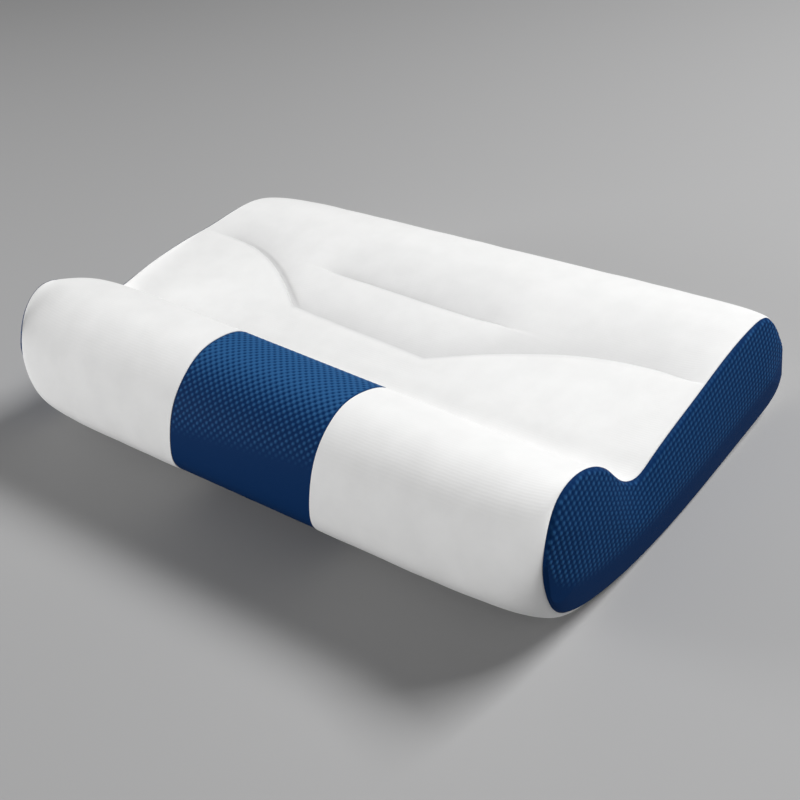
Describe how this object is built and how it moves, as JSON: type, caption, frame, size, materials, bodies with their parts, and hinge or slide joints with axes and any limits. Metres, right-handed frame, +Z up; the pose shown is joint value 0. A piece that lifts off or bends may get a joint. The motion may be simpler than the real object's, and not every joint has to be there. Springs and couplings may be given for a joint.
{
  "type": "cervical pillow",
  "caption": "Contour neck pillow with a full front roll, a low middle, a sewn crease and a raised back, in white knit with blue air mesh at the roll and ends.",
  "frame": {"origin": "centre of the overall box, on the surface that the pillow rests on", "axes": "+X along the neck roll to the right end, +Y from the roll at the front to the raised back, +Z up"},
  "size_m": [0.6158, 0.3946, 0.1444],
  "materials": {
    "white_knit": "matt white knit with a fine cross rib",
    "blue_air_mesh": "deep blue spacer mesh with staggered cells"
  },
  "bodies": {
    "root": {"pillow_body": "white_knit", "centre_band": "blue_air_mesh", "end_panel_left": "blue_air_mesh", "end_panel_right": "blue_air_mesh"}
  },
  "joints": []
}
